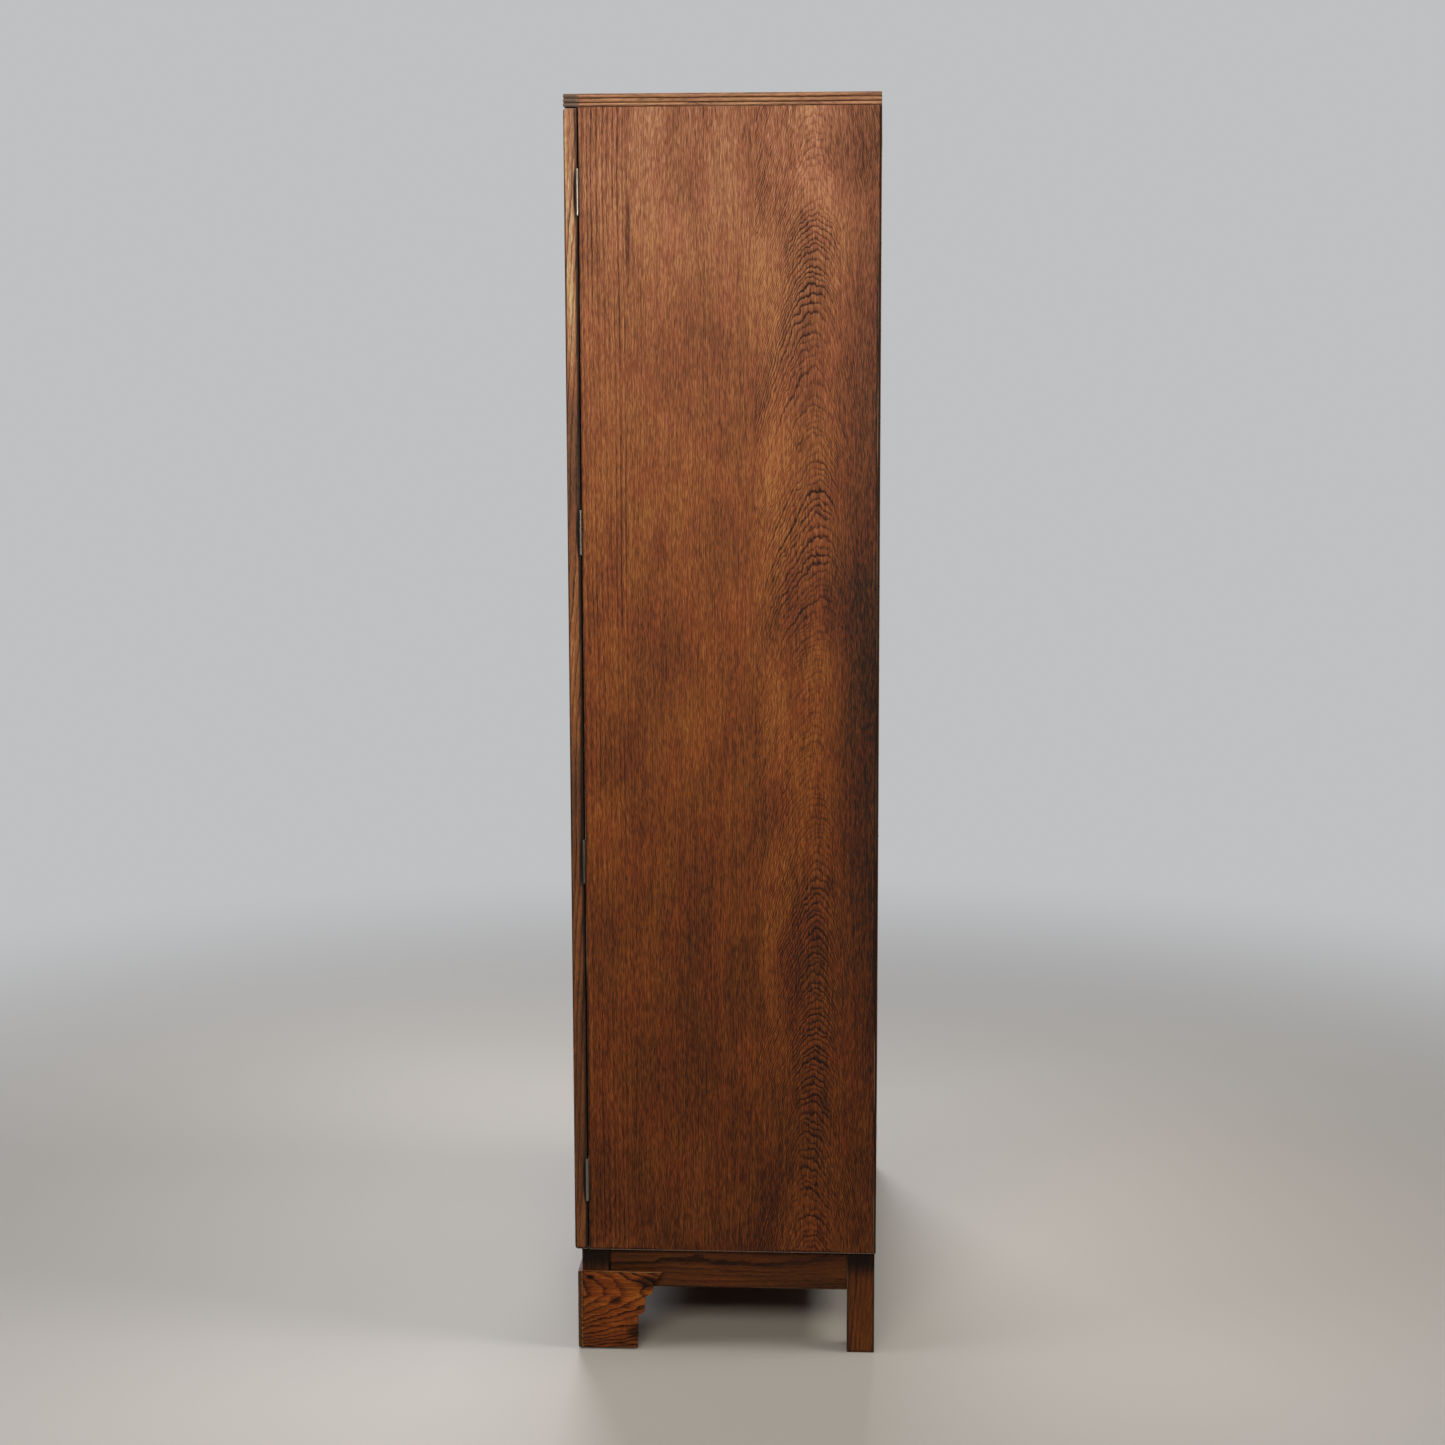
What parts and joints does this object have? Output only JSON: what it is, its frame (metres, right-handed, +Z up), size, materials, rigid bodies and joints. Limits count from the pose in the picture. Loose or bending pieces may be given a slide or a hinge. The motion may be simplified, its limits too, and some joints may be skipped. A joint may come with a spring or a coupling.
{
  "type": "barrister bookcase",
  "caption": "Tall stained oak bookcase with side-hinged glazed doors, adjustable shelves and a low stand with stepped bracket feet.",
  "frame": {"origin": "on the floor, under the middle of the object's width and of its depth over the knobs", "axes": "+X to the viewer's right as seen from the front, +Y from the doors to the back, +Z up"},
  "size_m": [0.9226, 0.464, 1.8],
  "materials": {
    "side_veneer": "stained and waxed oak veneer, satin",
    "top_veneer": "stained and waxed oak veneer, satin",
    "lipping_end_grain": "stained oak, end grain at the sides",
    "lipping_oak": "stained oak, satin",
    "inside_oak": "stained oak, matt",
    "back_ply": "stained plywood, matt",
    "shelf_oak": "stained oak, satin",
    "brass": "aged brass",
    "stand_oak": "stained oak, satin",
    "block_wood": "sawn softwood",
    "bracket_oak": "stained oak, strong figure, satin",
    "steel": "worn steel",
    "door_oak": "stained and waxed oak, satin",
    "bead_oak": "stained oak",
    "glass": "clear sheet glass"
  },
  "bodies": {
    "case": {"side_right": "side_veneer", "side_left": "side_veneer", "top_board": "top_veneer", "top_lipping_front": "lipping_end_grain", "top_lipping_right": "lipping_oak", "top_lipping_left": "lipping_oak", "bottom_panel": "inside_oak", "back_panel": "back_ply", "shelf_1": "shelf_oak", "shelf_2": "shelf_oak", "shelf_3": "shelf_oak", "shelf_4": "shelf_oak", "shelf_studs": "brass", "leg_front_right": "stand_oak", "leg_front_left": "stand_oak", "leg_rear_right": "stand_oak", "leg_rear_left": "stand_oak", "rail_front": "stand_oak", "rail_rear": "stand_oak", "rail_right": "stand_oak", "rail_left": "stand_oak", "corner_blocks": "block_wood", "bracket_side_right": "bracket_oak", "bracket_side_left": "bracket_oak", "bracket_front_right": "bracket_oak", "bracket_front_left": "bracket_oak", "case_hinge_leaves_right": "steel", "case_hinge_leaves_left": "steel", "hinge_pins_right": "steel", "hinge_pins_left": "steel"},
    "door_right": {"right_hinge_stile": "door_oak", "right_meeting_stile": "door_oak", "right_top_rail": "door_oak", "right_bottom_rail": "door_oak", "right_glazing_bars": "door_oak", "right_panes": "glass", "right_beads": "bead_oak", "door_hinge_leaves_right": "steel", "knob_right": "brass", "escutcheon": "brass", "lock_case": "brass"},
    "door_left": {"left_hinge_stile": "door_oak", "left_meeting_stile": "door_oak", "left_top_rail": "door_oak", "left_bottom_rail": "door_oak", "left_glazing_bars": "door_oak", "left_panes": "glass", "left_beads": "bead_oak", "door_hinge_leaves_left": "steel", "knob_left": "brass", "strike_plate": "brass", "top_bolt_guide": "brass", "bottom_bolt_guide": "brass"},
    "lock_bolt": {"lock_bolt": "brass"},
    "key": {"key": "steel"},
    "top_bolt": {"top_bolt_rod": "steel"},
    "bottom_bolt": {"bottom_bolt_rod": "steel"}
  },
  "joints": [
    {"name": "door_right_swing", "type": "hinge", "parent": "case", "child": "door_right", "pos_m": [0.459, -0.1869, 0.966], "axis": [0, 0, 1], "range_deg": [0, 180]},
    {"name": "door_left_swing", "type": "hinge", "parent": "case", "child": "door_left", "pos_m": [-0.459, -0.1869, 0.966], "axis": [0, 0, -1], "range_deg": [0, 180]},
    {"name": "key_turn", "type": "hinge", "parent": "door_right", "child": "key", "pos_m": [0.02, -0.194, 0.921], "axis": [0, -1, 0], "range_deg": [0, 360]},
    {"name": "lock_bolt_slide", "type": "slide", "parent": "door_right", "child": "lock_bolt", "axis": [-1, 0, 0], "range_m": [0, 0.008]},
    {"name": "top_bolt_slide", "type": "slide", "parent": "door_left", "child": "top_bolt", "axis": [0, 0, 1], "range_m": [0, 0.012]},
    {"name": "bottom_bolt_slide", "type": "slide", "parent": "door_left", "child": "bottom_bolt", "axis": [0, 0, -1], "range_m": [0, 0.012]}
  ],
  "couplings": [
    {"joint": "lock_bolt_slide", "follows": "key_turn", "m_per_rad": 0.001273}
  ]
}
